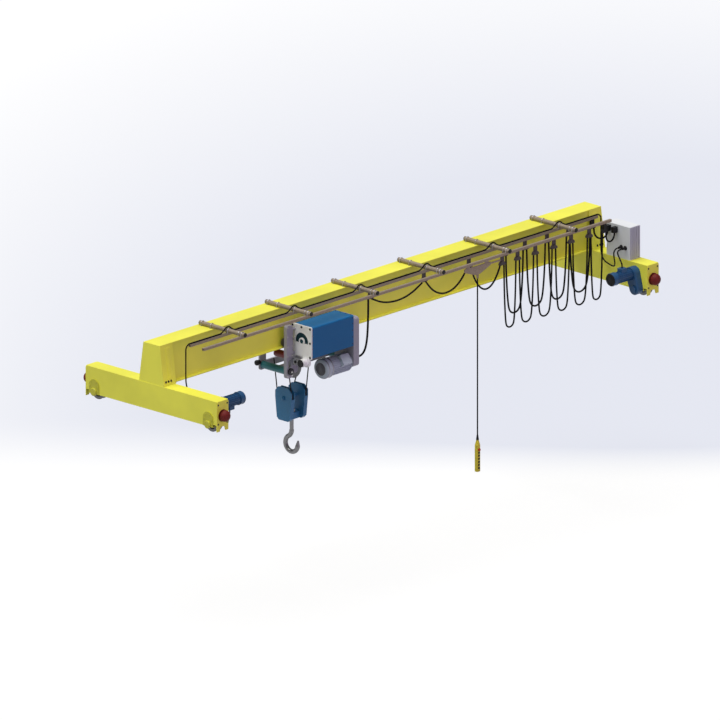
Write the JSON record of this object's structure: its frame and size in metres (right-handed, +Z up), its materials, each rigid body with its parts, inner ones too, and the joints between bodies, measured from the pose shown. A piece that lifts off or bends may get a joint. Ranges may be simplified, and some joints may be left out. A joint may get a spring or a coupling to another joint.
{
  "type": "overhead bridge crane",
  "caption": "Single-girder overhead travelling crane with end carriages, a side-hung rope hoist, a hook block, festoon cables and a hanging pendant control.",
  "frame": {"origin": "the point where the tread of the front left wheel meets the top of its runway rail", "axes": "+X along the girder, +Y along the runway towards the rear wheels, +Z up"},
  "size_m": [10.086, 3.094, 3.537],
  "materials": {
    "black_jacket": "matte cable jacket",
    "black_plastic": "moulded plastic",
    "blue_paint": "satin enamel",
    "dark_red_rubber": "matte moulded rubber",
    "hook_steel": "forged, satin",
    "mauve_grey_paint": "satin enamel",
    "motor_grey_paint": "satin enamel on cast ribs",
    "panel_grey_paint": "fine textured powder coat",
    "pendant_yellow": "moulded plastic",
    "rail_steel": "dull galvanised",
    "rope_wire": "stranded wire",
    "teal_paint": "satin enamel",
    "wheel_steel": "machined steel",
    "white_paint": "satin powder coat",
    "yellow_paint": "glossy enamel"
  },
  "bodies": {
    "bridge": {"end_carriage_left": "yellow_paint", "end_carriage_right": "yellow_paint", "carriage_end_plates": "yellow_paint", "rubber_buffers": "dark_red_rubber", "bearing_covers": "yellow_paint", "travel_gearbox_left": "blue_paint", "travel_gearbox_right": "blue_paint", "travel_motor_left": "blue_paint", "travel_motor_right": "blue_paint", "girder_webs_and_top": "yellow_paint", "girder_runway_flange": "yellow_paint", "girder_end_feet": "yellow_paint", "cable_arms": "rail_steel", "hoist_cable_rail": "rail_steel", "pendant_cable_rail": "rail_steel", "festoon_end_clamps": "black_plastic", "hoist_festoon_cable": "black_jacket", "pendant_festoon_cable": "black_jacket", "control_panel": "panel_grey_paint", "panel_cable_inlets": "black_plastic", "festoon_feed_cables": "black_jacket", "travel_drive_cables": "black_jacket"},
    "hoist": {"hoist_drum_cover": "blue_paint", "hoist_drum_end_plate": "white_paint", "hoist_limit_switch": "white_paint", "hoist_gearbox": "mauve_grey_paint", "hoist_motor": "motor_grey_paint", "trolley_front_column": "mauve_grey_paint", "trolley_back_frame": "mauve_grey_paint", "trolley_cross_tubes": "teal_paint", "return_sheave_beam": "mauve_grey_paint", "return_sheave": "wheel_steel", "trolley_wheels": "wheel_steel", "trolley_drive_motor": "black_plastic", "hoist_ropes": "rope_wire", "hoist_drop_cable": "black_jacket"},
    "rope_drum": {"hoist_rope_drum": "wheel_steel"},
    "hook_block": {"hook_block_frame": "blue_paint", "hook_block_sheaves": "wheel_steel"},
    "hook": {"load_hook": "hook_steel"},
    "pendant": {"pendant_trolley": "rail_steel", "pendant_cable": "black_jacket", "pendant_control": "pendant_yellow"},
    "wheel_front_left": {"rail_wheel_front_left": "wheel_steel"},
    "wheel_front_right": {"rail_wheel_front_right": "wheel_steel"},
    "wheel_rear_left": {"rail_wheel_rear_left": "wheel_steel"},
    "wheel_rear_right": {"rail_wheel_rear_right": "wheel_steel"},
    "hoist_carrier_7": {"hoist_cable_carrier_7": "black_plastic"},
    "hoist_carrier_6": {"hoist_cable_carrier_6": "black_plastic"},
    "hoist_carrier_5": {"hoist_cable_carrier_5": "black_plastic"},
    "hoist_carrier_4": {"hoist_cable_carrier_4": "black_plastic"},
    "hoist_carrier_3": {"hoist_cable_carrier_3": "black_plastic"},
    "hoist_carrier_2": {"hoist_cable_carrier_2": "black_plastic"},
    "hoist_carrier_1": {"hoist_cable_carrier_1": "black_plastic"},
    "pendant_carrier_6": {"pendant_cable_carrier_6": "black_plastic"},
    "pendant_carrier_5": {"pendant_cable_carrier_5": "black_plastic"},
    "pendant_carrier_4": {"pendant_cable_carrier_4": "black_plastic"},
    "pendant_carrier_3": {"pendant_cable_carrier_3": "black_plastic"},
    "pendant_carrier_2": {"pendant_cable_carrier_2": "black_plastic"},
    "pendant_carrier_1": {"pendant_cable_carrier_1": "black_plastic"}
  },
  "joints": [
    {"name": "trolley_travel", "type": "slide", "parent": "bridge", "child": "hoist", "axis": [1, 0, 0], "range_m": [-2.2, 3.9], "deforming": ["hoist_festoon_cable"]},
    {"name": "hook_lift", "type": "slide", "parent": "hoist", "child": "hook_block", "axis": [0, 0, 1], "range_m": [-1.85, 0.1], "deforming": ["hoist_ropes"]},
    {"name": "drum_turn", "type": "hinge", "parent": "hoist", "child": "rope_drum", "pos_m": [2.836, 0.775, 0.64], "axis": [1, 0, 0], "range_deg": [-2703.9, 147.1]},
    {"name": "hook_swivel", "type": "hinge", "parent": "hook_block", "child": "hook", "pos_m": [3.05, 1.225, -0.715], "axis": [0, 0, 1], "continuous": true},
    {"name": "pendant_travel", "type": "slide", "parent": "bridge", "child": "pendant", "axis": [1, 0, 0], "range_m": [-5.8, 1.3], "deforming": ["pendant_festoon_cable"]},
    {"name": "wheel_front_left_turn", "type": "hinge", "parent": "bridge", "child": "wheel_front_left", "pos_m": [0, 0, 0.125], "axis": [1, 0, 0], "continuous": true},
    {"name": "wheel_front_right_turn", "type": "hinge", "parent": "bridge", "child": "wheel_front_right", "pos_m": [9.75, 0, 0.125], "axis": [1, 0, 0], "continuous": true},
    {"name": "wheel_rear_left_turn", "type": "hinge", "parent": "bridge", "child": "wheel_rear_left", "pos_m": [0, 2.45, 0.125], "axis": [1, 0, 0], "continuous": true},
    {"name": "wheel_rear_right_turn", "type": "hinge", "parent": "bridge", "child": "wheel_rear_right", "pos_m": [9.75, 2.45, 0.125], "axis": [1, 0, 0], "continuous": true},
    {"name": "hoist_carrier_7_roll", "type": "slide", "parent": "bridge", "child": "hoist_carrier_7", "axis": [1, 0, 0], "range_m": [-0.2157, 0.3823]},
    {"name": "hoist_carrier_6_roll", "type": "slide", "parent": "hoist_carrier_7", "child": "hoist_carrier_6", "axis": [1, 0, 0], "range_m": [-0.1825, 0.32345]},
    {"name": "hoist_carrier_5_roll", "type": "slide", "parent": "hoist_carrier_6", "child": "hoist_carrier_5", "axis": [1, 0, 0], "range_m": [-0.19357, 0.34307]},
    {"name": "hoist_carrier_4_roll", "type": "slide", "parent": "hoist_carrier_5", "child": "hoist_carrier_4", "axis": [1, 0, 0], "range_m": [-0.17698, 0.31366]},
    {"name": "hoist_carrier_3_roll", "type": "slide", "parent": "hoist_carrier_4", "child": "hoist_carrier_3", "axis": [1, 0, 0], "range_m": [-0.3594, 0.63705]},
    {"name": "hoist_carrier_2_roll", "type": "slide", "parent": "hoist_carrier_3", "child": "hoist_carrier_2", "axis": [1, 0, 0], "range_m": [-0.481, 0.8526]},
    {"name": "hoist_carrier_1_roll", "type": "slide", "parent": "hoist_carrier_2", "child": "hoist_carrier_1", "axis": [1, 0, 0], "range_m": [-0.59155, 1.04858]},
    {"name": "pendant_carrier_6_roll", "type": "slide", "parent": "bridge", "child": "pendant_carrier_6", "axis": [1, 0, 0], "range_m": [-0.78171, 0.17529]},
    {"name": "pendant_carrier_5_roll", "type": "slide", "parent": "pendant_carrier_6", "child": "pendant_carrier_5", "axis": [1, 0, 0], "range_m": [-1.06962, 0.23982]},
    {"name": "pendant_carrier_4_roll", "type": "slide", "parent": "pendant_carrier_5", "child": "pendant_carrier_4", "axis": [1, 0, 0], "range_m": [-0.98732, 0.22137]},
    {"name": "pendant_carrier_3_roll", "type": "slide", "parent": "pendant_carrier_4", "child": "pendant_carrier_3", "axis": [1, 0, 0], "range_m": [-1.11074, 0.24904]},
    {"name": "pendant_carrier_2_roll", "type": "slide", "parent": "pendant_carrier_3", "child": "pendant_carrier_2", "axis": [1, 0, 0], "range_m": [-1.02844, 0.23059]},
    {"name": "pendant_carrier_1_roll", "type": "slide", "parent": "pendant_carrier_2", "child": "pendant_carrier_1", "axis": [1, 0, 0], "range_m": [-0.82277, 0.18449]}
  ],
  "couplings": [
    {"joint": "drum_turn", "follows": "hook_lift", "rad_per_m": 25.5},
    {"joint": "hoist_carrier_7_roll", "follows": "trolley_travel", "ratio": 0.098},
    {"joint": "hoist_carrier_6_roll", "follows": "trolley_travel", "ratio": 0.08291},
    {"joint": "hoist_carrier_5_roll", "follows": "trolley_travel", "ratio": 0.08794},
    {"joint": "hoist_carrier_4_roll", "follows": "trolley_travel", "ratio": 0.0804},
    {"joint": "hoist_carrier_3_roll", "follows": "trolley_travel", "ratio": 0.16332},
    {"joint": "hoist_carrier_2_roll", "follows": "trolley_travel", "ratio": 0.21859},
    {"joint": "hoist_carrier_1_roll", "follows": "trolley_travel", "ratio": 0.26884},
    {"joint": "pendant_carrier_6_roll", "follows": "pendant_travel", "ratio": 0.13476},
    {"joint": "pendant_carrier_5_roll", "follows": "pendant_travel", "ratio": 0.1844},
    {"joint": "pendant_carrier_4_roll", "follows": "pendant_travel", "ratio": 0.17021},
    {"joint": "pendant_carrier_3_roll", "follows": "pendant_travel", "ratio": 0.19149},
    {"joint": "pendant_carrier_2_roll", "follows": "pendant_travel", "ratio": 0.1773},
    {"joint": "pendant_carrier_1_roll", "follows": "pendant_travel", "ratio": 0.14184}
  ]
}
